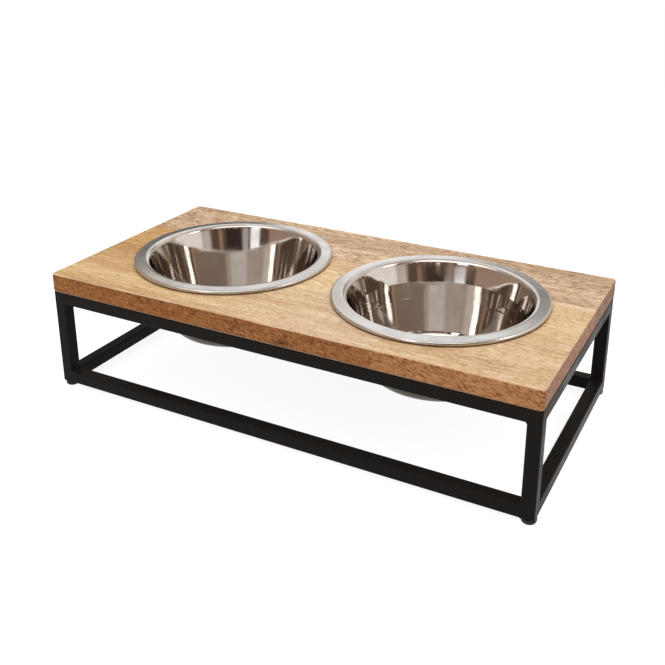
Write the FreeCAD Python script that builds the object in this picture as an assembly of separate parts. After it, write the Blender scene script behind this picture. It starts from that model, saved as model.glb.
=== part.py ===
import FreeCAD, Part
import math
import os

from FreeCAD import Vector

# Double pet bowl stand: two steel bowls hang by their rims in a glued wood top, which is
# screwed to a welded frame of square tube that stands on four glides.
# Millimetres. The origin is on the floor under the middle of the stand, +X runs along its
# length to the right, +Y to the back and +Z up.

# Bowls, with radii measured at the middle of the sheet unless named outer
sheet_thickness = 0.8
mouth_radius = 88.5
flange_width = 15.5
bowl_drop = 77.0
wall_lean_degrees = 15.0
base_corner_radius = 14.0
rim_bend_radius = 5.0
flange_fall_degrees = 7.0
crease_radius = 1.0
crease_rise_degrees = 25.0
rolled_edge_radius = 1.6
rolled_edge_turn_degrees = 240.0

# Wood top
gap_between_rims = 26.0
end_margin = 34.0
side_margin = 23.0
top_thickness = 20.0
upright_corner_radius = 4.0
corner_margin = 0.3
upper_edge_radius = 1.6
lower_edge_radius = 3.0
hole_edge_radius = 1.0
rear_board_width = 84.0
front_board_width = 85.0
front_joint_from_middle = 104.0

# Frame
frame_height = 102.0
tube_size = 12.7
tube_wall = 1.2
tube_edge_radius = 1.2
leg_end_radius = 0.8
end_setback = 0.5
side_setback = 1.5
weld_size = 2.2
weld_throat_share = 0.38

# Glides
glide_radius = 6.7
glide_height = 5.0
glide_edge_radius = 2.5
glide_stem_length = 14.0
glide_stem_chamfer = 1.0

# Tabs and screws
tab_length = 24.0
tab_depth = 16.0
tab_thickness = 2.0
tab_corner_radius = 4.0
tab_from_end = 45.0
screw_radius = 2.0
screw_length = 16.0
screw_point_length = 3.0
screw_head_radius = 4.0
screw_head_height = 2.6
screw_head_edge_radius = 1.0
recess_width = 1.0
recess_length = 4.4
recess_depth = 1.5

# Clearances
seat_clearance = 0.3
hole_clearance = 1.2
stem_clearance = 0.1
tab_hole_clearance = 0.25
pilot_clearance = 0.05
pilot_extra_depth = 1.0

# Values worked out from the ones above
rim_outer_radius = mouth_radius + flange_width
bowl_spacing = 2 * rim_outer_radius + gap_between_rims
top_length = bowl_spacing + 2 * rim_outer_radius + 2 * end_margin
top_width = 2 * rim_outer_radius + 2 * side_margin
frame_length = top_length - 2 * end_setback
frame_width = top_width - 2 * side_setback
frame_bottom = glide_height
frame_top = frame_bottom + frame_height
top_underside = frame_top
top_surface = top_underside + top_thickness
leg_x = frame_length / 2 - tube_size / 2
leg_y = frame_width / 2 - tube_size / 2
rail_inner_y = leg_y - tube_size / 2
tab_x = top_length / 2 - tab_from_end
screw_y = rail_inner_y - tab_depth / 2
hole_radius = mouth_radius + sheet_thickness / 2 + hole_clearance
front_joint_y = -top_width / 2 + front_board_width
rear_joint_y = top_width / 2 - rear_board_width

SIDES = {"left": -1, "right": 1}
DEPTHS = {"front": -1, "rear": 1}
UP = Vector(0, 0, 1)
TOLERANCE = 1e-6


def block(low, high):
    """Box between two opposite corners."""
    size = high - low
    return Part.makeBox(size.x, size.y, size.z, low)


def edges_along(shape, axis):
    """Straight edges of a box that run along one axis."""
    return [edge for edge in shape.Edges if 1 - abs(edge.tangentAt(edge.FirstParameter)[axis]) < TOLERANCE]


def edges_at_height(shape, height):
    """Edges that lie in one level plane."""
    flat = [edge for edge in shape.Edges if edge.BoundBox.ZLength < TOLERANCE]
    return [edge for edge in flat if abs(edge.CenterOfMass.z - height) < TOLERANCE]


def square_bar(middle, axis, length, width):
    """Solid square bar with sharp edges, along one axis."""
    half = Vector(*[length / 2 if i == axis else width / 2 for i in range(3)])
    return block(middle - half, middle + half)


def eased_bar(middle, axis, length):
    """Outer form of the tube: a square bar with eased long edges."""
    bar = square_bar(middle, axis, length, tube_size)
    return bar.makeFillet(tube_edge_radius, edges_along(bar, axis))


def square_tube(middle, axis, length):
    """Hollow square tube with eased long edges, along one axis."""
    return eased_bar(middle, axis, length).cut(square_bar(middle, axis, length, tube_size - 2 * tube_wall))


def leg(side, depth):
    """Full-height leg with its lower outer edge eased."""
    tube = square_tube(Vector(side * leg_x, depth * leg_y, frame_bottom + frame_height / 2), 2, frame_height)
    end_face = min(tube.Faces, key=lambda face: face.CenterOfMass.z)
    return tube.makeFillet(leg_end_radius, end_face.OuterWire.Edges)


def long_rail(depth, height):
    """Rail along the length, between two legs."""
    return square_tube(Vector(0, depth * leg_y, height), 0, 2 * leg_x - tube_size)


def end_rail(side, height):
    """Rail across an end, between two legs."""
    return square_tube(Vector(side * leg_x, 0, height), 1, 2 * leg_y - tube_size)


def weld(corner, along, upward, across):
    """Fillet weld in the corner between a rail's window face and a leg."""
    width = tube_size - 2 * tube_edge_radius
    start = corner - across * (width / 2)
    foot = start + along * weld_size
    head = start + upward * weld_size
    throat = start + (along + upward) * (weld_size * weld_throat_share)
    edges = [
        Part.makeLine(start, foot),
        Part.Arc(foot, throat, head).toShape(),
        Part.makeLine(head, start),
    ]
    return Part.Face(Part.Wire(edges)).extrude(across * width)


def groove_fill(post, across, inward):
    """Weld metal beside one eased edge of a leg, flush with its rails. The post is on the leg's axis."""
    edge = post + (across + inward) * (tube_size / 2)
    on_one_face = edge - across * tube_edge_radius
    on_other_face = edge - inward * tube_edge_radius
    halfway = edge - (across + inward) * (tube_edge_radius * (1 - math.sqrt(0.5)))
    edges = [
        Part.makeLine(edge, on_one_face),
        Part.Arc(on_one_face, halfway, on_other_face).toShape(),
        Part.makeLine(on_other_face, edge),
    ]
    return Part.Face(Part.Wire(edges)).extrude(UP * tube_size)


def frame_welds():
    """A fillet at each end of each rail, and the filled grooves round it."""
    levels = ((frame_top - tube_size, -1), (frame_bottom + tube_size, 1))
    welds = []
    for side in SIDES.values():
        for depth in DEPTHS.values():
            for height, upward in levels:
                long_corner = Vector(side * (leg_x - tube_size / 2), depth * leg_y, height)
                end_corner = Vector(side * leg_x, depth * (leg_y - tube_size / 2), height)
                welds.append(weld(long_corner, Vector(-side, 0, 0), UP * upward, Vector(0, 1, 0)))
                welds.append(weld(end_corner, Vector(0, -depth, 0), UP * upward, Vector(1, 0, 0)))
                post = Vector(side * leg_x, depth * leg_y, min(height, height - upward * tube_size))
                inner_x, inner_y = Vector(-side, 0, 0), Vector(0, -depth, 0)
                welds.append(groove_fill(post, inner_x, -inner_y))
                welds.append(groove_fill(post, inner_x, inner_y))
                welds.append(groove_fill(post, -inner_x, inner_y))
    return Part.makeCompound(welds)


def glide(side, depth):
    """Round glide with a square stem that plugs the leg tube."""
    foot = Vector(side * leg_x, depth * leg_y, 0)
    head = Part.makeCylinder(glide_radius, glide_height, foot)
    head = head.makeFillet(glide_edge_radius, edges_at_height(head, 0))
    stem_half = tube_size / 2 - tube_wall - stem_clearance
    stem_low = foot + Vector(-stem_half, -stem_half, glide_height)
    stem_high = foot + Vector(stem_half, stem_half, glide_height + glide_stem_length)
    stem = block(stem_low, stem_high)
    stem = stem.makeChamfer(glide_stem_chamfer, edges_at_height(stem, stem_high.z))
    return head.fuse(stem).removeSplitter()


def tab(column, depth):
    """Plate welded inside a long top rail, with a hole for its screw."""
    low = Vector(column * tab_x - tab_length / 2, -tab_depth / 2, frame_top - tab_thickness)
    high = Vector(column * tab_x + tab_length / 2, tab_depth / 2, frame_top)
    plate = block(low, high)
    free_edges = [edge for edge in edges_along(plate, 2) if edge.CenterOfMass.y * depth < 0]
    plate = plate.makeFillet(tab_corner_radius, free_edges)
    hole_foot = Vector(column * tab_x, 0, frame_top - tab_thickness)
    plate = plate.cut(Part.makeCylinder(screw_radius + tab_hole_clearance, tab_thickness, hole_foot))
    plate.translate(Vector(0, depth * screw_y, 0))
    return plate


def screw(column, depth):
    """Pan-head wood screw with a cross recess, driven up through a tab."""
    seat = Vector(column * tab_x, depth * screw_y, frame_top - tab_thickness)
    crown = seat - UP * screw_head_height
    head = Part.makeCylinder(screw_head_radius, screw_head_height, crown)
    head = head.makeFillet(screw_head_edge_radius, edges_at_height(head, crown.z))
    for length, width in ((recess_length, recess_width), (recess_width, recess_length)):
        half = Vector(length / 2, width / 2, 0)
        head = head.cut(block(crown - half, crown + half + UP * recess_depth))
    shank_length = screw_length - screw_point_length
    shank = Part.makeCylinder(screw_radius, shank_length, seat)
    point = Part.makeCone(screw_radius, 0, screw_point_length, seat + UP * shank_length)
    return head.fuse([shank, point]).removeSplitter()


def pilot_hole(column, depth):
    """Hole in the wood that a screw goes into."""
    depth_in_wood = screw_length - tab_thickness + pilot_extra_depth
    foot = Vector(column * tab_x, depth * screw_y, top_underside)
    return Part.makeCylinder(screw_radius + pilot_clearance, depth_in_wood, foot)


def glued_top():
    """The whole wood top, with eased edges, bowl holes and pilot holes."""
    largest_edge_radius = upright_corner_radius - corner_margin
    half = Vector(top_length / 2, top_width / 2, 0)
    panel = block(UP * top_underside - half, UP * top_surface + half)
    panel = panel.makeFillet(upright_corner_radius, edges_along(panel, 2))
    for height, radius in ((top_surface, upper_edge_radius), (top_underside, lower_edge_radius)):
        panel = panel.makeFillet(min(radius, largest_edge_radius), edges_at_height(panel, height))
    for side in SIDES.values():
        foot = Vector(side * bowl_spacing / 2, 0, top_underside)
        panel = panel.cut(Part.makeCylinder(hole_radius, top_thickness, foot))
    rims = [edge for edge in panel.Edges if abs(getattr(edge.Curve, "Radius", 0) - hole_radius) < TOLERANCE]
    panel = panel.makeFillet(hole_edge_radius, rims)
    return panel.cut([pilot_hole(column, depth) for column in (-1, 0, 1) for depth in DEPTHS.values()])


def boards():
    """The glued top taken apart along its glue lines."""
    panel = glued_top()
    left, right = -top_length / 2, top_length / 2
    front, rear = -top_width / 2, top_width / 2

    def strip(x_low, x_high, y_low, y_high):
        return panel.common(block(Vector(x_low, y_low, top_underside), Vector(x_high, y_high, top_surface)))

    middle = strip(left, right, front_joint_y, rear_joint_y)
    ends_and_bridge = sorted(middle.Solids, key=lambda solid: solid.CenterOfMass.x)
    return {
        "rear_board": strip(left, right, rear_joint_y, rear),
        "middle_board_left": ends_and_bridge[0],
        "middle_board_bridge": ends_and_bridge[1],
        "middle_board_right": ends_and_bridge[2],
        "front_board_left": strip(left, front_joint_from_middle, front, front_joint_y),
        "front_board_right": strip(front_joint_from_middle, right, front, front_joint_y),
    }


def left_of(heading):
    """Unit vector to the left of a heading in the upright X-Z plane."""
    return Vector(-math.sin(heading), 0, math.cos(heading))


def sheet_outline(start, steps, thickness):
    """Outline of bent sheet whose middle follows runs (length, 0) and bends (radius, turn)."""
    edges = []
    ends = []
    for offset in (thickness / 2, -thickness / 2):
        point = start
        heading = 0.0
        first = point + left_of(heading) * offset
        for size, turn in steps:
            begin = point + left_of(heading) * offset
            if turn == 0:
                point = point + Vector(math.cos(heading), 0, math.sin(heading)) * size
                last = point + left_of(heading) * offset
                edges.append(Part.makeLine(begin, last))
                continue
            reach = math.copysign(size, turn)
            centre = point + left_of(heading) * reach
            halfway = centre - left_of(heading + turn / 2) * (reach - offset)
            heading = heading + turn
            point = centre - left_of(heading) * reach
            last = point + left_of(heading) * offset
            edges.append(Part.Arc(begin, halfway, last).toShape())
        ends.append((first, last))
    edges.append(Part.makeLine(ends[0][0], ends[1][0]))
    edges.append(Part.makeLine(ends[0][1], ends[1][1]))
    return Part.Wire(Part.sortEdges(edges)[0])


def bowl(side):
    """One pressed bowl, hanging by its rolled edge on the wood."""
    wall = math.radians(90 - wall_lean_degrees)
    fall = math.radians(flange_fall_degrees)
    rise = math.radians(crease_rise_degrees)
    half_sheet = sheet_thickness / 2

    # Rolled edge, then inwards over the crease and the flange to the top of the wall
    edge_reach = rolled_edge_radius + half_sheet
    edge_centre = Vector(rim_outer_radius - edge_reach, 0, top_surface + seat_clearance + edge_reach)
    crease_end = edge_centre + left_of(rise) * rolled_edge_radius
    crease_start = crease_end - (left_of(-fall) - left_of(rise)) * crease_radius
    bend_run = Vector(math.sin(wall) + math.sin(fall), 0, math.cos(fall) - math.cos(wall)) * rim_bend_radius
    flange_length = (crease_start.x - mouth_radius - bend_run.x) / math.cos(fall)
    wall_top = crease_start.z + flange_length * math.sin(fall) - bend_run.z

    # Wall and base
    base = top_surface + seat_clearance - bowl_drop + half_sheet
    wall_length = (wall_top - base - base_corner_radius * (1 - math.cos(wall))) / math.sin(wall)
    flat_radius = mouth_radius - wall_length * math.cos(wall) - base_corner_radius * math.sin(wall)

    steps = [
        (flat_radius, 0),
        (base_corner_radius, wall),
        (wall_length, 0),
        (rim_bend_radius, -wall - fall),
        (flange_length, 0),
        (crease_radius, fall + rise),
        (rolled_edge_radius, -math.radians(rolled_edge_turn_degrees)),
    ]
    section = Part.Face(sheet_outline(Vector(0, 0, base), steps, sheet_thickness))
    pressing = section.revolve(Vector(0, 0, 0), UP, 360)
    pressing.translate(Vector(side * bowl_spacing / 2, 0, 0))
    return pressing


def all_pieces():
    """Every piece of the stand by name."""
    pieces = boards()
    for side_name, side in SIDES.items():
        for depth_name, depth in DEPTHS.items():
            corner = f"{depth_name}_{side_name}"
            pieces[f"{corner}_leg"] = leg(side, depth)
            pieces[f"{corner}_glide"] = glide(side, depth)
        pieces[f"{side_name}_bowl"] = bowl(side)
    for level, height in (("top", frame_top - tube_size / 2), ("bottom", frame_bottom + tube_size / 2)):
        for depth_name, depth in DEPTHS.items():
            pieces[f"{depth_name}_{level}_rail"] = long_rail(depth, height)
        for side_name, side in SIDES.items():
            pieces[f"{side_name}_{level}_rail"] = end_rail(side, height)
    pieces["frame_welds"] = frame_welds()
    screws = []
    for depth_name, depth in DEPTHS.items():
        for column_name, column in (("left", -1), ("middle", 0), ("right", 1)):
            pieces[f"{depth_name}_{column_name}_tab"] = tab(column, depth)
            screws.append(screw(column, depth))
    pieces["tab_screws"] = Part.makeCompound(screws)
    return pieces


os.makedirs("parts", exist_ok=True)
for name, shape in all_pieces().items():
    shape.exportStep(f"parts/{name}.step")
    print(f"{name}: {len(shape.Solids)} solids, valid {shape.isValid()}, {shape.Volume / 1000:.2f} cm3")
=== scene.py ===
import math
from typing import NamedTuple

import bpy
from mathutils import Matrix, Vector


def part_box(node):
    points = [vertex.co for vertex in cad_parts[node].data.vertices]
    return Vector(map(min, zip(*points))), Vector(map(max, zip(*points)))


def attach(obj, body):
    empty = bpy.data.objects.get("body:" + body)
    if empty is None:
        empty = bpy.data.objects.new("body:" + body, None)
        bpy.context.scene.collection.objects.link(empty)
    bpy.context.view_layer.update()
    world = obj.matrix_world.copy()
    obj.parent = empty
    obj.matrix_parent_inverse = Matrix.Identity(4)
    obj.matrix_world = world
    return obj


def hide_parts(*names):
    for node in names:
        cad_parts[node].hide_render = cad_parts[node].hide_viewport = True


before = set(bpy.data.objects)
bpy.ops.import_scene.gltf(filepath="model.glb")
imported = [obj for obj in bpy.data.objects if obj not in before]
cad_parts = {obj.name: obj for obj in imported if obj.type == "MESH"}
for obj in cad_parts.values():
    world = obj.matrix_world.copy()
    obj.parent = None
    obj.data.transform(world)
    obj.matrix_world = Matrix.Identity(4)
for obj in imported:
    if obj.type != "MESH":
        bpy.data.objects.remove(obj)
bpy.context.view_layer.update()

# The looks of a double pet bowl stand: oiled wood top, black square-tube frame, two steel bowls.
# Metres, in the frame of the solids: +X along the stand to the right, +Y to the back, +Z up.

MM = 0.001

# Camera fitted to the photograph
PICTURE_PX = 665.0
FOCAL_PX = 911.2
SHIFT_PX = -100.0
SENSOR_MM = 36.0
CAMERA_PLACE = Vector((0.4031, -0.7470, 0.4755))
CAMERA_YAW = math.radians(-28.248)
CAMERA_PITCH = math.radians(19.588)
CAMERA_ROLL = math.radians(0.154)

# Bowls, as in the solids, but with a flatter flange and crease at the same height
SHEET = 0.8 * MM
MOUTH_RADIUS = 88.5 * MM
FLANGE_WIDTH = 15.5 * MM
RIM_RADIUS = MOUTH_RADIUS + FLANGE_WIDTH
BOWL_DROP = 77.0 * MM
WALL_RISE = math.radians(75.0)
BASE_CORNER_RADIUS = 14.0 * MM
RIM_BEND_RADIUS = 5.0 * MM
FLANGE_FALL = math.radians(4.9)
CREASE_RADIUS = 1.0 * MM
CREASE_RISE = math.radians(10.0)
ROLL_RADIUS = 1.6 * MM
ROLL_TURN = math.radians(240.0)
SEAT_CLEARANCE = 0.3 * MM
TURN_STEPS = 288

# Points of the outline nearer to the axis than this are put on it
AXIS_REACH = SHEET / 10

# Share of the rim's bend that is polished
BEND_SHARE = 0.32

# Places taken from the solids
TOP_LOW, TOP_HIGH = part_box("rear_board")
TOP_SURFACE = TOP_HIGH.z
FRONT_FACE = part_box("front_board_left")[0].y
REAR_JOINT = TOP_LOW.y
FRONT_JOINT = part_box("front_board_left")[1].y
LENGTH_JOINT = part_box("front_board_left")[1].x
RIM_MIDDLES = [(sum(corner.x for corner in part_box(f"{side}_bowl")) / 2, 0.0, 0.0)
               for side in ("left", "right")]


class Layer(NamedTuple):
    """A layer of noise: its scales along X, Y and Z, its detail, the two levels that it is stretched between,
    and its roughness."""

    scale: tuple
    detail: float
    low: float
    high: float
    roughness: float = 0.5


class Tree:
    """The nodes of one material, with a short call for each kind that the finishes use."""

    FACTOR, COLOUR_A, COLOUR_B, COLOUR_OUT = 0, 6, 7, 2

    def __init__(self, name):
        self.material = bpy.data.materials.new(name)
        self.material.use_nodes = True
        self.nodes = self.material.node_tree.nodes
        self.links = self.material.node_tree.links
        self.nodes.clear()

    def feed(self, socket, value):
        if isinstance(value, bpy.types.NodeSocket):
            self.links.new(value, socket)
        else:
            socket.default_value = value

    def node(self, kind, inputs, **settings):
        node = self.nodes.new(kind)
        for key, value in settings.items():
            setattr(node, key, value)
        for key, value in inputs.items():
            self.feed(node.inputs[key], value)
        return node

    def place(self):
        return self.node("ShaderNodeTexCoord", {}).outputs["Object"]

    def normal(self):
        return self.node("ShaderNodeNewGeometry", {}).outputs["True Normal"]

    def split(self, vector):
        parts = self.node("ShaderNodeSeparateXYZ", {0: vector})
        return parts.outputs[0], parts.outputs[1], parts.outputs[2]

    def join(self, x, y, z):
        return self.node("ShaderNodeCombineXYZ", {0: x, 1: y, 2: z}).outputs[0]

    def vector(self, operation, a, b):
        return self.node("ShaderNodeVectorMath", {0: a, 1: b}, operation=operation).outputs[0]

    def length(self, a):
        return self.node("ShaderNodeVectorMath", {0: a}, operation="LENGTH").outputs["Value"]

    def math(self, operation, a, b=0.0, c=0.0):
        return self.node("ShaderNodeMath", {0: a, 1: b, 2: c}, operation=operation).outputs[0]

    def times(self, a, b):
        return self.math("MULTIPLY", a, b)

    def noise(self, vector, scale, detail, roughness=0.5):
        inputs = {"Vector": self.vector("MULTIPLY", vector, scale), "Scale": 1.0, "Detail": detail,
                  "Roughness": roughness}
        return self.node("ShaderNodeTexNoise", inputs).outputs[0]

    def span(self, value, low, high, start=0.0, end=1.0):
        inputs = {"Value": value, "From Min": low, "From Max": high, "To Min": start, "To Max": end}
        return self.node("ShaderNodeMapRange", inputs, interpolation_type="SMOOTHSTEP").outputs[0]

    def layer(self, vector, layer, start=0.0, end=1.0):
        noise = self.noise(vector, layer.scale, layer.detail, layer.roughness)
        return self.span(noise, layer.low, layer.high, start, end)

    def mix(self, factor, a, b, blend="MIX"):
        inputs = {self.FACTOR: factor, self.COLOUR_A: a, self.COLOUR_B: b}
        node = self.node("ShaderNodeMix", inputs, data_type="RGBA", blend_type=blend)
        return node.outputs[self.COLOUR_OUT]

    def near(self, value, middle, reach, soft):
        """One within reach of the middle, fading to nothing over soft."""
        away = self.math("ABSOLUTE", self.math("SUBTRACT", value, middle))
        return self.span(away, reach - soft / 2, reach + soft / 2, 1.0, 0.0)

    def bump(self, height, strength, distance, normal=None):
        inputs = {"Height": height, "Strength": strength, "Distance": distance}
        if normal is not None:
            inputs["Normal"] = normal
        return self.node("ShaderNodeBump", inputs).outputs[0]

    def surface(self, **inputs):
        named = {key.replace("_", " "): value for key, value in inputs.items()}
        shader = self.node("ShaderNodeBsdfPrincipled", named)
        return self.finish(shader.outputs[0])

    def finish(self, shader):
        self.node("ShaderNodeOutputMaterial", {"Surface": shader})
        return self.material


def rgb(red, green, blue):
    return (red, green, blue, 1.0)


def even(scale):
    return (scale, scale, scale)


class Board(NamedTuple):
    """How one board of the top looks: its colours, where its grain is cut from, where the tree's heart lies
    across it, how strongly it is figured, and a function that adds its marks."""

    name: str
    pale: tuple
    deep: tuple
    # Multiplied over the upright faces: the side grain's own tone together with painted shade
    side: tuple
    cut_from: tuple
    heart: float
    streaking: float
    flecking: float
    mark: object = None


# How far the grain wanders about its straight run, slowly and quickly
DRIFT_SCALE = (3.5, 14.0, 14.0)
DRIFT_REACH = 14.0 * MM
SHIVER_SCALE = (24.0, 70.0, 70.0)
SHIVER_REACH = 1.2 * MM
NOISE_MIDDLE = 0.5

# Layers of the figure along the grain, and how strongly they show
BANDS = Layer((3.0, 42.0, 42.0), 2.0, 0.36, 0.66)
STREAKS = Layer((6.0, 170.0, 140.0), 3.0, 0.34, 0.66, 0.6)
STREAK_SHARE = 0.6
HAIRS = Layer((22.0, 430.0, 430.0), 2.0, 0.42, 0.64)
HAIR_SHARE = 0.30
DASHES = Layer((110.0, 420.0, 420.0), 2.0, 0.50, 0.64)
DASHES_ON_SIDE = 0.4
DASH_TINT = rgb(0.58, 0.45, 0.33)
PORES = Layer((240.0, 1000.0, 1000.0), 1.0, 0.52, 0.66)
PORES_ON_TOP = 0.45
PORES_ON_SIDE = 0.5
PORE_TINT = rgb(0.46, 0.32, 0.21)
FLECKS = Layer((45.0, 300.0, 340.0), 1.0, 0.52, 0.68)
FLECK_SHIFT = (5.3, 2.1, 1.7)
FLECK_SHARE = 0.35
FLECK_TONE = rgb(0.94, 0.77, 0.53)

# Parts of the normal over which a face passes from upright to level, from side to end, and to upper side
UPRIGHT_LEVELS = (0.25, 0.95)
END_LEVELS = (0.6, 0.95)
UPPER_LEVELS = (0.5, 0.9)

# Growth rings on the ends of the boards
END_TINT = rgb(0.64, 0.59, 0.61)
RING_TINT = rgb(0.62, 0.50, 0.40)
RING_PITCH = 3.4 * MM
RING_LEVELS = (0.45, 1.0)
RING_SHARE = 0.6
RING_WANDER = 0.5
HEART_DEPTH = 62.0 * MM

# Slanted hatching on the upright faces, in clusters
HATCH = Layer((600.0, 150.0, 150.0), 2.0, 0.47, 0.61)
HATCH_SLOPE = 0.6
HATCH_TINT = rgb(0.40, 0.29, 0.20)
CLUSTERS = Layer((70.0, 90.0, 90.0), 2.0, 0.36, 0.62)
CLUSTER_SHARES = (0.35, 0.95)

# The eased upper edge, by the level of its normal, and the streaks along which it is lightened by rubbed wear
# together with a painted highlight where the rounding catches the light
EASED_LEVEL = 0.62
EASED_REACH = 0.20
EASED_SOFT = 0.24
RUBBED_HIGHLIGHT_LEVELS = (0.2, 0.8)
RUBBED_HIGHLIGHT_SHARES = (0.25, 0.85)

# Painted contact shadows on the wood under the rolled rims, left as dark rings when a bowl is lifted, and
# glue lines
RIM_SHADOW_TINT = rgb(0.34, 0.23, 0.16)
RIM_SHADOW_REACH = 1.7 * MM
RIM_SHADOW_SOFT = 0.8 * MM
RIM_SHADOW_SHARE = 0.8
SEAM_TINT = rgb(0.50, 0.36, 0.26)
GLUE_REACH = 0.3 * MM
GLUE_SOFT = 0.3 * MM
GLUE_SHARE = 0.45

# Relief and gloss of the wood
PORE_DEPTH = 0.8
DASH_DEPTH = 0.6
FLECK_RISE = 0.3
WOOD_BUMP = 0.4
WOOD_RELIEF = 0.25 * MM
WOOD_ROUGHNESS = (0.44, 0.52)
PIT_ROUGHNESS = 0.16
WOOD_SPECULAR = 0.24


def growth_rings(tree, colour, place, board, wander, end_grain):
    """Rings about the tree's heart on the ends of a board."""
    _, y, z = place
    heart = (0.0, board.heart, TOP_SURFACE - HEART_DEPTH)
    from_heart = tree.length(tree.vector("SUBTRACT", tree.join(0.0, y, z), heart))
    from_heart = tree.math("ADD", from_heart, tree.times(wander, RING_WANDER))
    rings = tree.span(tree.math("FRACT", tree.math("DIVIDE", from_heart, RING_PITCH)), *RING_LEVELS)
    rings = tree.times(tree.times(rings, end_grain), RING_SHARE)
    return tree.mix(rings, colour, RING_TINT, "MULTIPLY")


def hatching(tree, colour, place, moved, upright):
    """Slanted dark dashes, in clusters, on the upright faces."""
    x, y, z = place
    along = tree.math("MULTIPLY_ADD", x, HATCH_SLOPE, z)
    across = tree.math("MULTIPLY_ADD", z, HATCH_SLOPE, tree.times(x, -1.0))
    hatch = tree.layer(tree.join(along, across, y), HATCH)
    clusters = tree.layer(moved, CLUSTERS, *CLUSTER_SHARES)
    hatch = tree.times(tree.times(hatch, upright), clusters)
    return tree.mix(hatch, colour, HATCH_TINT, "MULTIPLY")


def rim_shadows_and_glue(tree, colour, place, facing_z):
    """Painted contact shadows under the rolled rims on the upper side, and the glue lines between the boards.
    """
    x, y, _ = place
    upper = tree.span(facing_z, *UPPER_LEVELS, 0.0, RIM_SHADOW_SHARE)
    # A dark ring of painted shadow where each rolled rim sits on the wood
    for middle in RIM_MIDDLES:
        away = tree.length(tree.vector("SUBTRACT", tree.join(x, y, 0.0), middle))
        ring = tree.near(away, RIM_RADIUS - RIM_SHADOW_REACH, RIM_SHADOW_REACH, RIM_SHADOW_SOFT)
        colour = tree.mix(tree.times(ring, upper), colour, RIM_SHADOW_TINT, "MULTIPLY")
    for joint in (REAR_JOINT, FRONT_JOINT):
        line = tree.times(tree.near(y, joint, GLUE_REACH, GLUE_SOFT), GLUE_SHARE)
        colour = tree.mix(line, colour, SEAM_TINT, "MULTIPLY")
    return colour


def wood(board):
    """Oiled open-pored wood with its grain along X."""
    tree = Tree(board.name)
    whole = tree.place()
    place = tree.split(whole)
    moved = tree.vector("ADD", whole, board.cut_from)
    drift = tree.math("SUBTRACT", tree.noise(moved, DRIFT_SCALE, detail=2.0), NOISE_MIDDLE)
    shiver = tree.math("SUBTRACT", tree.noise(moved, SHIVER_SCALE, detail=1.0), NOISE_MIDDLE)
    wander = tree.math("ADD", tree.times(drift, DRIFT_REACH), tree.times(shiver, SHIVER_REACH))
    grain = tree.vector("ADD", moved, tree.join(0.0, wander, wander))

    bands = tree.layer(grain, BANDS)
    streaks = tree.layer(grain, STREAKS)
    hairs = tree.layer(grain, HAIRS)
    dashes = tree.layer(grain, DASHES)
    pores = tree.layer(grain, PORES)
    flecks = tree.layer(tree.vector("ADD", grain, FLECK_SHIFT), FLECKS)

    colour = tree.mix(tree.times(bands, board.streaking), board.pale, board.deep)
    colour = tree.mix(tree.times(streaks, board.streaking * STREAK_SHARE), colour, board.deep)
    colour = tree.mix(tree.times(hairs, HAIR_SHARE), colour, board.deep)
    if board.mark is not None:
        colour = board.mark(tree, colour, place)
    colour = tree.mix(tree.times(flecks, FLECK_SHARE), colour, FLECK_TONE)

    # Side grain takes more oil than the top and shows coarser pores, and end grain takes the most; the
    # upright faces are also darkened with painted shade, as if turned away from the light above
    facing_x, _, facing_z = tree.split(tree.normal())
    level = tree.math("ABSOLUTE", facing_z)
    upright = tree.span(level, *UPRIGHT_LEVELS, 1.0, 0.0)
    end_grain = tree.span(tree.math("ABSOLUTE", facing_x), *END_LEVELS)
    colour = tree.mix(upright, colour, board.side, "MULTIPLY")
    colour = tree.mix(end_grain, colour, END_TINT, "MULTIPLY")
    colour = growth_rings(tree, colour, place, board, wander, end_grain)
    colour = hatching(tree, colour, place, moved, upright)
    for specks, tint, on_top, on_side in ((dashes, DASH_TINT, board.flecking, DASHES_ON_SIDE),
                                          (pores, PORE_TINT, PORES_ON_TOP, PORES_ON_SIDE)):
        strength = tree.times(specks, tree.span(upright, 0.0, 1.0, on_top, on_side))
        colour = tree.mix(strength, colour, tint, "MULTIPLY")

    # The eased upper edge is lightened here and there: rubbed wear together with a painted highlight where
    # the rounding catches the light
    eased = tree.near(level, EASED_LEVEL, EASED_REACH, EASED_SOFT)
    rubbed_highlight = tree.span(streaks, *RUBBED_HIGHLIGHT_LEVELS, *RUBBED_HIGHLIGHT_SHARES)
    colour = tree.mix(tree.times(eased, rubbed_highlight), colour, board.pale)
    colour = rim_shadows_and_glue(tree, colour, place, facing_z)

    pits = tree.math("MAXIMUM", tree.times(pores, PORE_DEPTH), tree.times(dashes, DASH_DEPTH))
    height = tree.math("SUBTRACT", tree.times(flecks, FLECK_RISE), pits)
    smooth = tree.span(streaks, 0.0, 1.0, *WOOD_ROUGHNESS)
    roughness = tree.math("ADD", smooth, tree.times(pits, PIT_ROUGHNESS))
    return tree.surface(Base_Color=colour, Roughness=roughness, Specular_IOR_Level=WOOD_SPECULAR,
                        Normal=tree.bump(height, WOOD_BUMP, WOOD_RELIEF))


# Curl at the rear left corner: its middle, and its strength over the distance from there
RIPPLE_MIDDLE = (-0.205, 0.100, 0.0)
RIPPLE_REACH = (0.015, 0.075)
RIPPLE_SHARE = 0.55
RIPPLE_SLOPE = 0.5
RIPPLE_TINT = rgb(0.68, 0.53, 0.40)
CURL = Layer((130.0, 16.0, 20.0), 1.0, 0.40, 0.62)


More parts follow.
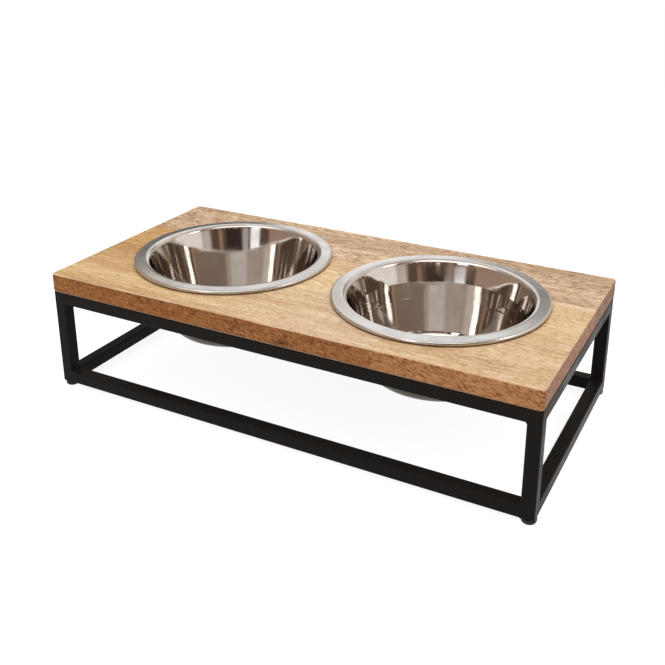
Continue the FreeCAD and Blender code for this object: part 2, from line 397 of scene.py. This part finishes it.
def ripple(tree, colour, place):
    """Curl across the grain at the rear left corner."""
    x, y, z = place
    away = tree.length(tree.vector("SUBTRACT", tree.join(x, y, 0.0), RIPPLE_MIDDLE))
    bent = tree.join(tree.math("ADD", x, tree.times(y, RIPPLE_SLOPE)), y, z)
    curl = tree.layer(bent, CURL)
    strength = tree.times(curl, tree.span(away, *RIPPLE_REACH, RIPPLE_SHARE, 0.0))
    return tree.mix(strength, colour, RIPPLE_TINT, "MULTIPLY")


SAPWOOD_START = 16.0 * MM
SAPWOOD_FULL = 2.0 * MM
SAPWOOD_SHARE = 0.75
SAPWOOD_TONE = rgb(0.86, 0.68, 0.50)


def sapwood(tree, colour, place):
    """Pale band in front of the rear glue line."""
    _, y, _ = place
    band = tree.span(y, REAR_JOINT - SAPWOOD_START, REAR_JOINT - SAPWOOD_FULL, 0.0, SAPWOOD_SHARE)
    return tree.mix(band, colour, SAPWOOD_TONE)


# Depths behind the front face over which its marks fade
FACE_START = 0.3 * MM
FACE_END = 1.2 * MM

# Upright line where the two lengths of the front board meet, fainter near the top
SEAM_REACH = 0.35 * MM
SEAM_SOFT = 0.3 * MM
SEAM_DEPTHS = (8.0 * MM, 3.0 * MM)
SEAM_SHARES = (0.8, 0.2)


def on_front_face(tree, y):
    """One on the upright face of the front edge, and nothing behind it."""
    return tree.span(y, FRONT_FACE + FACE_START, FRONT_FACE + FACE_END, 1.0, 0.0)


def seam(tree, colour, place):
    """Upright line on the front edge where the two lengths of the front board meet."""
    x, y, z = place
    deep, shallow = SEAM_DEPTHS
    lower = tree.span(z, TOP_SURFACE - deep, TOP_SURFACE - shallow, *SEAM_SHARES)
    line = tree.times(tree.near(x, LENGTH_JOINT, SEAM_REACH, SEAM_SOFT), on_front_face(tree, y))
    return tree.mix(tree.times(line, lower), colour, SEAM_TINT, "MULTIPLY")


# Honey tone over the left of the front board
HONEY_RUN = (-0.17, 0.06)
HONEY_TINT = rgb(0.90, 0.80, 0.58)

# Rosy smear near the middle of the front board
ROSY_MIDDLE = (0.015, -0.112, 0.0)
ROSY_STRETCH = (1.0, 3.2, 1.0)
ROSY_REACH = (0.005, 0.050)
ROSY_SHARE = 0.6
ROSY_TINT = rgb(0.97, 0.91, 0.90)

# Slanted streaks on the front edge, stronger to the left
SLANTS = Layer((330.0, 45.0, 1.0), 2.0, 0.46, 0.66)
SLANT_RUN = (-0.17, -0.03)
SLANT_SHARES = (0.6, 0.2)
SLANT_TINT = rgb(0.52, 0.38, 0.27)

# Knot on the front edge, with a halo
KNOT_MIDDLE = (0.018, FRONT_FACE, TOP_SURFACE - 15.0 * MM)
KNOT_STRETCH = (0.55, 1.0, 1.0)
HALO_REACH = (2.5 * MM, 9.0 * MM)
HALO_SHARE = 0.65
HALO_TINT = rgb(0.50, 0.30, 0.20)
KNOT_REACH = (0.9 * MM, 3.2 * MM)
KNOT_SHARE = 0.85
KNOT_TONE = rgb(0.16, 0.07, 0.035)


def front_left_marks(tree, colour, place):
    """Honey tone to the left, a rosy smear in the middle, slanted streaks and one knot on the front edge."""
    x, y, z = place
    colour = tree.mix(tree.span(x, *HONEY_RUN, 1.0, 0.0), colour, HONEY_TINT, "MULTIPLY")
    smear = tree.vector("SUBTRACT", tree.join(x, y, 0.0), ROSY_MIDDLE)
    smear = tree.length(tree.vector("MULTIPLY", smear, ROSY_STRETCH))
    colour = tree.mix(tree.span(smear, *ROSY_REACH, ROSY_SHARE, 0.0), colour, ROSY_TINT, "MULTIPLY")
    slanted = tree.join(tree.math("ADD", x, z), tree.math("SUBTRACT", z, x), 0.0)
    streaks = tree.times(tree.layer(slanted, SLANTS), on_front_face(tree, y))
    streaks = tree.times(streaks, tree.span(x, *SLANT_RUN, *SLANT_SHARES))
    colour = tree.mix(streaks, colour, SLANT_TINT, "MULTIPLY")
    knot = tree.vector("SUBTRACT", tree.join(x, y, z), KNOT_MIDDLE)
    away = tree.length(tree.vector("MULTIPLY", knot, KNOT_STRETCH))
    colour = tree.mix(tree.span(away, *HALO_REACH, HALO_SHARE, 0.0), colour, HALO_TINT, "MULTIPLY")
    colour = tree.mix(tree.span(away, *KNOT_REACH, KNOT_SHARE, 0.0), colour, KNOT_TONE)
    return seam(tree, colour, place)


# Tints of the upright faces: the side grain's own deeper tone together with painted shade
PLAIN_SIDE_SHADE = rgb(1.0, 0.68, 0.47)
OILED_SIDE_SHADE = rgb(0.79, 0.47, 0.255)
REAR_SIDE_SHADE = rgb(0.80, 0.48, 0.31)

BOARDS = {
    "rear_board": Board("rear_wood", rgb(0.85, 0.64, 0.435), rgb(0.40, 0.255, 0.155), REAR_SIDE_SHADE,
                        (0.31, 0.07, 0.02), -70.0 * MM, 0.58, 0.95, ripple),
    "middle_board_left": Board("middle_left_wood", rgb(0.70, 0.42, 0.16), rgb(0.46, 0.245, 0.095),
                               PLAIN_SIDE_SHADE, (0.92, 0.23, 0.05), -40.0 * MM, 0.50, 0.25),
    "middle_board_bridge": Board("middle_wood", rgb(0.92, 0.69, 0.425), rgb(0.56, 0.345, 0.17),
                                 PLAIN_SIDE_SHADE, (1.71, 0.41, 0.07), 0.0, 0.45, 0.38),
    "middle_board_right": Board("middle_right_wood", rgb(0.86, 0.63, 0.375), rgb(0.55, 0.335, 0.165),
                                PLAIN_SIDE_SHADE, (2.43, 0.57, 0.03), 25.0 * MM, 0.45, 0.38, sapwood),
    "front_board_left": Board("front_left_wood", rgb(0.93, 0.74, 0.54), rgb(0.57, 0.355, 0.19),
                              OILED_SIDE_SHADE, (3.15, 0.69, 0.09), -150.0 * MM, 0.58, 0.20,
                              front_left_marks),
    "front_board_right": Board("front_right_wood", rgb(0.83, 0.61, 0.385), rgb(0.54, 0.325, 0.165),
                               PLAIN_SIDE_SHADE, (4.07, 0.83, 0.06), 5.0 * MM, 0.50, 0.42, seam),
}

# Levels between which most of a noise lies
NOISE_LEVELS = (0.3, 0.7)

# Powder coat of the frame
COAT_DEEP = rgb(0.0140, 0.0122, 0.0112)
COAT_PALE = rgb(0.0205, 0.0178, 0.0162)
COAT_ROUGHNESS = (0.36, 0.48)
COAT_SPECULAR = 0.05
CLOUD_SCALE = 30.0
PEEL_SCALE = 620.0
PEEL_BUMP = 0.18
PEEL_RELIEF = 0.12 * MM


def powder_coat():
    """Black coat with fine orange peel and faint clouds."""
    tree = Tree("black_powder_coat")
    place = tree.place()
    peel = tree.noise(place, even(PEEL_SCALE), detail=2.0)
    cloud = tree.noise(place, even(CLOUD_SCALE), detail=3.0)
    colour = tree.mix(cloud, COAT_DEEP, COAT_PALE)
    roughness = tree.span(cloud, *NOISE_LEVELS, *COAT_ROUGHNESS)
    return tree.surface(Base_Color=colour, Roughness=roughness, Specular_IOR_Level=COAT_SPECULAR,
                        Normal=tree.bump(peel, PEEL_BUMP, PEEL_RELIEF))


# Plastic of the glides, scuffed near the floor
GLIDE_TONE = rgb(0.006, 0.006, 0.006)
SCUFF_TONE = rgb(0.030, 0.029, 0.028)
SCUFF_HEIGHTS = (0.2 * MM, 2.4 * MM)
SCUFF_LEVELS = (0.45, 0.65)
GLIDE_ROUGHNESS = (0.48, 0.62)
GLIDE_SPECULAR = 0.3
GLIDE_SCALE = 900.0
GLIDE_BUMP = 0.2
GLIDE_RELIEF = 0.1 * MM


def glide_plastic():
    """Black plastic with a fine grain, scuffed grey near the floor."""
    tree = Tree("glide_plastic")
    place = tree.place()
    _, _, z = tree.split(place)
    grain = tree.noise(place, even(GLIDE_SCALE), detail=2.0)
    scuffs = tree.times(tree.span(z, *SCUFF_HEIGHTS, 1.0, 0.0), tree.span(grain, *SCUFF_LEVELS))
    colour = tree.mix(scuffs, GLIDE_TONE, SCUFF_TONE)
    roughness = tree.span(grain, *NOISE_LEVELS, *GLIDE_ROUGHNESS)
    return tree.surface(Base_Color=colour, Roughness=roughness, Specular_IOR_Level=GLIDE_SPECULAR,
                        Normal=tree.bump(grain, GLIDE_BUMP, GLIDE_RELIEF))


# Zinc of the screws
ZINC_DEEP = rgb(0.54, 0.52, 0.46)
ZINC_PALE = rgb(0.70, 0.69, 0.66)
ZINC_ROUGHNESS = (0.26, 0.44)
SPANGLE_SCALE = 500.0
SPANGLE_BUMP = 0.1
SPANGLE_RELIEF = 0.05 * MM


def zinc():
    """Zinc plate with a fine spangle."""
    tree = Tree("zinc_plate")
    spangle = tree.noise(tree.place(), even(SPANGLE_SCALE), detail=3.0)
    colour = tree.mix(spangle, ZINC_DEEP, ZINC_PALE)
    roughness = tree.span(spangle, *NOISE_LEVELS, *ZINC_ROUGHNESS)
    return tree.surface(Base_Color=colour, Metallic=1.0, Roughness=roughness,
                        Normal=tree.bump(spangle, SPANGLE_BUMP, SPANGLE_RELIEF))


class Steel(NamedTuple):
    """One finish of the bowls: two tones, the least and most roughness, the scale and depth of the turned
    lines, and the scale and depth of the slow wave in the sheet."""

    tones: tuple
    roughness: tuple
    line_scale: float
    line_depth: float
    wave_scale: float
    wave_depth: float


class Press(NamedTuple):
    """Heights of a faint pressed ring and of a kink in a bowl's wall, and the wall's lean above the kink."""

    ring: float
    kink: float
    lean: float


BRIGHT = rgb(0.605, 0.57, 0.54), rgb(0.55, 0.515, 0.485)
NEUTRAL = rgb(0.64, 0.64, 0.64), rgb(0.56, 0.56, 0.56)
# Tones of the matt outside, darkened well below plain steel: painted shade for the shadow under the stand
SHADED_GREY = rgb(0.11, 0.10, 0.086), rgb(0.095, 0.086, 0.074)
LEFT_POLISHED = Steel(BRIGHT, (0.04, 0.09), 900.0, 0.002 * MM, 48.0, 0.12 * MM)
RIGHT_POLISHED = LEFT_POLISHED._replace(wave_depth=0.18 * MM)
SATIN_STEEL = Steel(NEUTRAL, (0.18, 0.26), 2600.0, 0.012 * MM, 20.0, 0.05 * MM)
SHADED_DULL_STEEL = Steel(SHADED_GREY, (0.32, 0.37), 1400.0, 0.02 * MM, 20.0, 0.04 * MM)
RIGHT_PRESS = Press(92.0 * MM, 109.5 * MM, math.tan(math.radians(3.0)))

# Turned lines, smears and waves, alike in all the steel finishes
LINE_NOISE = 0.7
LINE_BUMP = 0.5
LINE_ROUGHNESS = 0.02
SMEAR_SCALE = (38.0, 38.0, 70.0)
SMEAR_NOISE = 0.6
SMEAR_LEVELS = (0.35, 0.7)
WAVE_Z_SHARE = 0.7

# Pressed ring in a bowl's wall
PRESSED_REACH = 1.0 * MM
PRESSED_SOFT = 2.0 * MM
PRESSED_RELIEF = 0.05 * MM


def bowl_steel(name, steel, press=None):
    """Pressed steel with fine turned lines round the bowl, faint smears and a slow wave in the sheet."""
    tree = Tree(name)
    place = tree.place()
    x, y, z = tree.split(place)
    radius = tree.length(tree.join(x, y, 0.0))
    line_scale = (steel.line_scale, steel.line_scale, 1.0)
    lines = tree.noise(tree.join(radius, z, 0.0), line_scale, detail=2.0, roughness=LINE_NOISE)
    smears = tree.noise(place, SMEAR_SCALE, detail=3.0, roughness=SMEAR_NOISE)
    wave_scale = (steel.wave_scale, steel.wave_scale, steel.wave_scale * WAVE_Z_SHARE)
    swell = tree.noise(place, wave_scale, detail=1.0)
    colour = tree.mix(tree.span(smears, *NOISE_LEVELS), *steel.tones)
    smooth = tree.span(smears, *SMEAR_LEVELS, *steel.roughness)
    rough = tree.math("ADD", smooth, tree.times(lines, LINE_ROUGHNESS))
    normal = tree.bump(swell, 1.0, steel.wave_depth)
    if press is not None:
        above = tree.math("MAXIMUM", tree.math("SUBTRACT", z, press.kink), 0.0)
        normal = tree.bump(tree.times(above, -press.lean), 1.0, 1.0, normal)
        ring = tree.near(z, press.ring, PRESSED_REACH, PRESSED_SOFT)
        normal = tree.bump(ring, 1.0, PRESSED_RELIEF, normal)
    normal = tree.bump(lines, LINE_BUMP, steel.line_depth, normal)
    return tree.surface(Base_Color=colour, Metallic=1.0, Roughness=rough, Normal=normal)


def left_of(heading):
    """Unit vector to the left of a heading in the (radius, height) plane."""
    return Vector((-math.sin(heading), math.cos(heading)))


def bowl_runs():
    """Start of the middle of the sheet, then straight runs (length, 0, steps) and bends (radius, turn, steps)
    out to the rolled edge."""
    edge_reach = ROLL_RADIUS + SHEET / 2
    seat = TOP_SURFACE + SEAT_CLEARANCE
    edge_centre = Vector((RIM_RADIUS - edge_reach, seat + edge_reach))
    crease_end = edge_centre + left_of(CREASE_RISE) * ROLL_RADIUS
    crease_start = crease_end - (left_of(-FLANGE_FALL) - left_of(CREASE_RISE)) * CREASE_RADIUS
    bend_run = Vector((math.sin(WALL_RISE) + math.sin(FLANGE_FALL),
                       math.cos(FLANGE_FALL) - math.cos(WALL_RISE)))
    bend_run *= RIM_BEND_RADIUS
    flange = (crease_start.x - MOUTH_RADIUS - bend_run.x) / math.cos(FLANGE_FALL)
    wall_top = crease_start.y + flange * math.sin(FLANGE_FALL) - bend_run.y
    base = seat - BOWL_DROP + SHEET / 2
    corner_height = BASE_CORNER_RADIUS * (1 - math.cos(WALL_RISE))
    wall = (wall_top - base - corner_height) / math.sin(WALL_RISE)
    flat = MOUTH_RADIUS - wall * math.cos(WALL_RISE) - BASE_CORNER_RADIUS * math.sin(WALL_RISE)
    runs = [
        (flat, 0.0, 6),
        (BASE_CORNER_RADIUS, WALL_RISE, 20),
        (wall, 0.0, 16),
        (RIM_BEND_RADIUS, -(WALL_RISE + FLANGE_FALL) * BEND_SHARE, 10),
        (RIM_BEND_RADIUS, -(WALL_RISE + FLANGE_FALL) * (1 - BEND_SHARE), 6),
        (flange, 0.0, 6),
        (CREASE_RADIUS, FLANGE_FALL + CREASE_RISE, 8),
        (ROLL_RADIUS, -ROLL_TURN, 24),
    ]
    return Vector((0.0, base)), runs


POLISHED, SATIN, DULL = 0, 1, 2
FIRST_SATIN_RUN = 4


def bowl_outline():
    """Points (radius, height) along the inside from the middle out to the rolled edge, and back along the
    outside, each with the finish of the strip that leads to it."""
    point, runs = bowl_runs()
    heading = 0.0
    middle = [(point, heading, POLISHED)]
    for index, (size, turn, steps) in enumerate(runs):
        finish = SATIN if index >= FIRST_SATIN_RUN else POLISHED
        for step in range(1, steps + 1):
            share = step / steps
            if turn == 0.0:
                place = point + Vector((math.cos(heading), math.sin(heading))) * size * share
                middle.append((place, heading, finish))
                continue
            reach = math.copysign(size, turn)
            centre = point + left_of(heading) * reach
            turned = heading + turn * share
            middle.append((centre - left_of(turned) * reach, turned, finish))
        heading += turn
        point = middle[-1][0]
    inside = [(place + left_of(turned) * SHEET / 2, finish) for place, turned, finish in middle]
    outside = [(place - left_of(turned) * SHEET / 2, DULL) for place, turned, _ in middle]
    return inside + outside[::-1]


def make_bowl(side_name, finishes):
    """One bowl turned from its outline, about its own axis."""
    outline = bowl_outline()
    verts = []
    rings = []
    for (radius, height), _ in outline:
        if radius < AXIS_REACH:
            rings.append([len(verts)] * TURN_STEPS)
            verts.append((0.0, 0.0, height))
            continue
        rings.append(list(range(len(verts), len(verts) + TURN_STEPS)))
        for step in range(TURN_STEPS):
            angle = 2 * math.pi * step / TURN_STEPS
            verts.append((radius * math.cos(angle), radius * math.sin(angle), height))
    faces = []
    marks = []
    for index in range(len(rings) - 1):
        inner, outer = rings[index], rings[index + 1]
        for step in range(TURN_STEPS):
            following = (step + 1) % TURN_STEPS
            corners = [inner[step], outer[step], outer[following], inner[following]]
            faces.append(list(dict.fromkeys(corners)))
            marks.append(outline[index + 1][1])
    mesh = bpy.data.meshes.new(f"{side_name}_bowl_turned")
    mesh.from_pydata(verts, [], faces)
    for finish in finishes:
        mesh.materials.append(finish)
    mesh.polygons.foreach_set("material_index", marks)
    mesh.polygons.foreach_set("use_smooth", [True] * len(faces))
    mesh.update()
    bowl = bpy.data.objects.new(f"{side_name}_bowl_turned", mesh)
    bpy.context.scene.collection.objects.link(bowl)
    low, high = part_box(f"{side_name}_bowl")
    bowl.location = ((low.x + high.x) / 2, (low.y + high.y) / 2, 0.0)
    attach(bowl, f"{side_name}_bowl")
    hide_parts(f"{side_name}_bowl")


def make_bowls():
    """Both bowls: polished inside, satin flange, and a matt outside darkened with painted shade."""
    satin = bowl_steel("satin_steel", SATIN_STEEL)
    shaded_dull = bowl_steel("shaded_dull_steel", SHADED_DULL_STEEL)
    for side, steel, press in (("left", LEFT_POLISHED, None), ("right", RIGHT_POLISHED, RIGHT_PRESS)):
        polished = bowl_steel(f"{side}_polished_steel", steel, press)
        make_bowl(side, (polished, satin, shaded_dull))


def paint(names, material):
    for name in names:
        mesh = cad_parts[name].data
        mesh.materials.clear()
        mesh.materials.append(material)


def dress_nodes():
    """Finishes of the solids that stay."""
    for name, board in BOARDS.items():
        paint([name], wood(board))
    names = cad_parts
    paint([name for name in names if name.endswith(("_leg", "_rail", "_tab", "_welds"))], powder_coat())
    paint([name for name in names if name.endswith("_glide")], glide_plastic())
    paint(["tab_screws"], zinc())


def plain_camera():
    """Camera at the photograph's place, turned by yaw, pitch and roll."""
    forward = Vector((math.sin(CAMERA_YAW) * math.cos(CAMERA_PITCH),
                      math.cos(CAMERA_YAW) * math.cos(CAMERA_PITCH),
                      -math.sin(CAMERA_PITCH)))
    right = Vector((math.cos(CAMERA_YAW), -math.sin(CAMERA_YAW), 0.0))
    down = forward.cross(right)
    image_right = right * math.cos(CAMERA_ROLL) + down * math.sin(CAMERA_ROLL)
    image_down = down * math.cos(CAMERA_ROLL) - right * math.sin(CAMERA_ROLL)
    data = bpy.data.cameras.new("camera")
    data.sensor_width = SENSOR_MM
    data.lens = FOCAL_PX / PICTURE_PX * SENSOR_MM
    data.shift_y = SHIFT_PX / PICTURE_PX
    camera = bpy.data.objects.new("camera", data)
    turned = Matrix((image_right, -image_down, -forward)).transposed().to_4x4()
    camera.matrix_world = Matrix.Translation(CAMERA_PLACE) @ turned
    bpy.context.scene.collection.objects.link(camera)
    bpy.context.scene.camera = camera


WHITE = rgb(1.0, 1.0, 1.0)

# Floor: its reach and drop, its tones where it is seen and where it only passes light on, and the glow
# that makes it white where it is seen, by distance from the stand
FLOOR_REACH = 1.9
FLOOR_DROP = 0.1 * MM
FLOOR_LIT = rgb(0.38, 0.38, 0.38)
FLOOR_PLAIN = rgb(0.30, 0.29, 0.28)
GLOW_DISTANCES = (0.35, 0.9)
GLOW_STRENGTHS = (0.88, 1.0)

# Tent round the stand, and the windows just inside it
HALF_TURN = 180.0
TENT_RADIUS = 2.0
TENT_AZIMUTHS = (-HALF_TURN, HALF_TURN)
TENT_ELEVATIONS = (0.0, 90.0)
TENT_STEPS = (72, 18)
WINDOW_RADIUS = TENT_RADIUS * 0.98
WINDOW_STEPS = (4, 3)

# Light of the tent on matt surfaces, from its foot to its top
SOFT_LOW = rgb(0.50, 0.47, 0.44)
SOFT_HIGH = rgb(1.43, 1.40, 1.36)
SOFT_ELEVATIONS = (15.0, 75.0)

# What reflections show of the tent, from its foot to its top
ROOM_LOW = rgb(0.47, 0.33, 0.25)
ROOM_HIGH = rgb(0.57, 0.49, 0.43)
ROOM_ELEVATIONS = (10.0, 70.0)


class Patch(NamedTuple):
    """A soft-edged part of the tent's wall in reflections. Degrees: azimuth from the front to the right."""

    azimuths: tuple
    elevations: tuple
    soft: float
    colour: tuple


SPOT_TONE = rgb(2.6, 2.3, 1.9)
ROOM = {
    "back_wall": Patch((128.0, 236.0), (4.0, 72.0), 28.0, rgb(0.92, 0.82, 0.74)),
    "right_glow": Patch((100.0, 126.0), (16.0, 48.0), 18.0, rgb(1.25, 1.17, 1.10)),
    "ceiling": Patch((-70.0, 70.0), (48.0, 74.0), 8.0, rgb(2.2, 2.1, 2.0)),
    "upper_back": Patch((-180.0, -120.0), (34.0, 66.0), 10.0, rgb(1.22, 1.20, 1.18)),
    "left_post": Patch((-130.0, -118.0), (26.0, 52.0), 5.0, rgb(0.92, 0.80, 0.70)),
    "rear_post": Patch((-166.0, -148.0), (4.0, 26.0), 4.0, rgb(1.20, 1.15, 1.10)),
    "rear_shade": Patch((-184.0, -164.0), (18.0, 33.0), 5.0, rgb(0.30, 0.27, 0.25)),
    "left_shade": Patch((-147.0, -116.0), (-4.0, 27.0), 5.0, rgb(0.20, 0.18, 0.17)),
    "dark_room": Patch((14.0, 70.0), (11.0, 38.0), 6.0, rgb(0.19, 0.13, 0.10)),
    "low_wall": Patch((80.0, 126.0), (-4.0, 18.0), 6.0, rgb(1.15, 1.08, 1.04)),
    "opening": Patch((-22.0, 78.0), (-4.0, 17.0), 4.0, rgb(0.15, 0.09, 0.065)),
    "low_side": Patch((67.0, 80.0), (-4.0, 17.5), 7.0, rgb(0.76, 0.66, 0.60)),
    "tan_post": Patch((48.0, 54.0), (-4.0, 17.0), 3.0, rgb(0.40, 0.26, 0.17)),
    "dark_card": Patch((21.0, 43.0), (-4.0, 17.5), 5.0, rgb(0.05, 0.035, 0.03)),
    "pale_post": Patch((9.0, 18.0), (-4.0, 17.0), 3.0, rgb(0.56, 0.53, 0.53)),
    "doorway": Patch((-8.0, 6.0), (6.0, 17.0), 4.0, rgb(1.50, 1.50, 1.52)),
    "left_frame": Patch((-19.0, 9.0), (19.0, 45.0), 3.0, rgb(0.10, 0.06, 0.04)),
    "left_glow": Patch((-12.0, 3.0), (20.0, 44.0), 4.0, rgb(0.95, 0.90, 0.85)),
    "gilt_line": Patch((-25.0, -22.0), (18.0, 45.0), 2.0, rgb(0.95, 0.66, 0.36)),
    "right_frame": Patch((78.0, 90.0), (20.0, 46.0), 3.0, rgb(0.20, 0.14, 0.11)),
    "right_line": Patch((68.0, 71.0), (18.0, 42.0), 2.0, rgb(0.80, 0.55, 0.30)),
    "near_spot": Patch((26.0, 30.0), (19.0, 23.0), 2.0, SPOT_TONE),
    "far_spot": Patch((54.0, 57.0), (27.0, 30.0), 2.0, SPOT_TONE),
    "high_spot": Patch((36.0, 38.5), (24.5, 27.0), 1.5, SPOT_TONE),
    "low_spot": Patch((44.0, 46.0), (19.5, 21.5), 1.5, SPOT_TONE),
    "side_spot": Patch((62.0, 64.5), (22.0, 24.5), 1.5, SPOT_TONE),
}


class Window(NamedTuple):
    """A bright pane of the tent, in degrees like a patch."""

    azimuths: tuple
    elevations: tuple
    strength: float


WINDOW_WHITE = rgb(1.0, 0.97, 0.93)
WINDOWS = {
    "left_window": Window((-10.0, 1.0), (22.0, 42.0), 4.0),
    "right_window": Window((87.0, 103.0), (25.0, 45.0), 4.0),
}


def emission(tree, colour, strength):
    return tree.node("ShaderNodeEmission", {"Color": colour, "Strength": strength}).outputs[0]


def diffuse(tree, colour):
    return tree.node("ShaderNodeBsdfDiffuse", {"Color": colour}).outputs[0]


def make_floor():
    """Floor that is white to the camera and in reflections, keeps the shadow, and is clear from below."""
    tree = Tree("floor")
    away = tree.length(tree.place())
    glow = emission(tree, WHITE, tree.span(away, *GLOW_DISTANCES, *GLOW_STRENGTHS))
    white = tree.node("ShaderNodeAddShader", {0: diffuse(tree, FLOOR_LIT), 1: glow}).outputs[0]
    plain = diffuse(tree, FLOOR_PLAIN)
    path = tree.node("ShaderNodeLightPath", {})
    seen = tree.math("MAXIMUM", path.outputs["Is Camera Ray"], path.outputs["Is Transmission Ray"])
    seen = tree.math("MAXIMUM", seen, path.outputs["Is Glossy Ray"])
    shown = tree.node("ShaderNodeMixShader", {0: seen, 1: plain, 2: white}).outputs[0]
    clear = tree.node("ShaderNodeBsdfTransparent", {}).outputs[0]
    below = tree.node("ShaderNodeNewGeometry", {}).outputs["Backfacing"]
    material = tree.finish(tree.node("ShaderNodeMixShader", {0: below, 1: shown, 2: clear}).outputs[0])
    material.cycles.emission_sampling = "NONE"
    mesh = bpy.data.meshes.new("floor")
    corners = [(-FLOOR_REACH, -FLOOR_REACH), (FLOOR_REACH, -FLOOR_REACH),
               (FLOOR_REACH, FLOOR_REACH), (-FLOOR_REACH, FLOOR_REACH)]
    mesh.from_pydata([(x, y, -FLOOR_DROP) for x, y in corners], [], [(0, 1, 2, 3)])
    mesh.materials.append(material)
    floor = bpy.data.objects.new("floor", mesh)
    bpy.context.scene.collection.objects.link(floor)


def tent_cloth():
    """Plain soft light for matt surfaces, and a simple room in reflections, which polished steel shows."""
    tree = Tree("tent_cloth")
    x, y, z = tree.split(tree.place())
    azimuth = tree.math("DEGREES", tree.math("ARCTAN2", x, tree.times(y, -1.0)))
    elevation = tree.math("DEGREES", tree.math("ARCSINE", tree.math("DIVIDE", z, TENT_RADIUS)))
    soft = tree.mix(tree.span(elevation, *SOFT_ELEVATIONS), SOFT_LOW, SOFT_HIGH)
    room = tree.mix(tree.span(elevation, *ROOM_ELEVATIONS), ROOM_LOW, ROOM_HIGH)
    for patch in ROOM.values():
        (left, right), (low, high) = patch.azimuths, patch.elevations
        turn = tree.math("SUBTRACT", azimuth, (left + right) / 2)
        turn = tree.math("WRAP", turn, HALF_TURN, -HALF_TURN)
        across = tree.near(turn, 0.0, (right - left) / 2, patch.soft)
        upward = tree.near(elevation, (low + high) / 2, (high - low) / 2, patch.soft)
        room = tree.mix(tree.times(across, upward), room, patch.colour)
    mirrored = tree.node("ShaderNodeLightPath", {}).outputs["Is Glossy Ray"]
    material = tree.finish(emission(tree, tree.mix(mirrored, soft, room), 1.0))
    material.cycles.emission_sampling = "NONE"
    return material


def pane(name, strength):
    tree = Tree(name)
    return tree.finish(emission(tree, WINDOW_WHITE, strength))


def make_card(name, azimuths, elevations, radius, steps, material):
    """A patch of a sphere round the stand between two azimuths and two elevations, hidden from the camera."""
    columns, rows = steps
    verts = []
    for row in range(rows + 1):
        elevation = math.radians(elevations[0] + (elevations[1] - elevations[0]) * row / rows)
        for column in range(columns + 1):
            azimuth = math.radians(azimuths[0] + (azimuths[1] - azimuths[0]) * column / columns)
            out = Vector((math.sin(azimuth) * math.cos(elevation), -math.cos(azimuth) * math.cos(elevation),
                          math.sin(elevation)))
            verts.append(out * radius)
    faces = []
    for row in range(rows):
        for column in range(columns):
            first = row * (columns + 1) + column
            faces.append((first, first + 1, first + columns + 2, first + columns + 1))
    mesh = bpy.data.meshes.new(name)
    mesh.from_pydata(verts, [], faces)
    mesh.materials.append(material)
    card = bpy.data.objects.new(name, mesh)
    card.visible_camera = False
    bpy.context.scene.collection.objects.link(card)


def make_studio():
    """A round tent with two windows, and a white world outside it."""
    make_card("tent", TENT_AZIMUTHS, TENT_ELEVATIONS, TENT_RADIUS, TENT_STEPS, tent_cloth())
    for name, window in WINDOWS.items():
        glass = pane(name, window.strength)
        make_card(name, window.azimuths, window.elevations, WINDOW_RADIUS, WINDOW_STEPS, glass)
    world = bpy.data.worlds.new("white")
    world.use_nodes = True
    world.node_tree.nodes["Background"].inputs["Color"].default_value = WHITE
    bpy.context.scene.world = world


dress_nodes()
make_bowls()
make_floor()
make_studio()
plain_camera()
bpy.context.scene.view_settings.view_transform = "Standard"
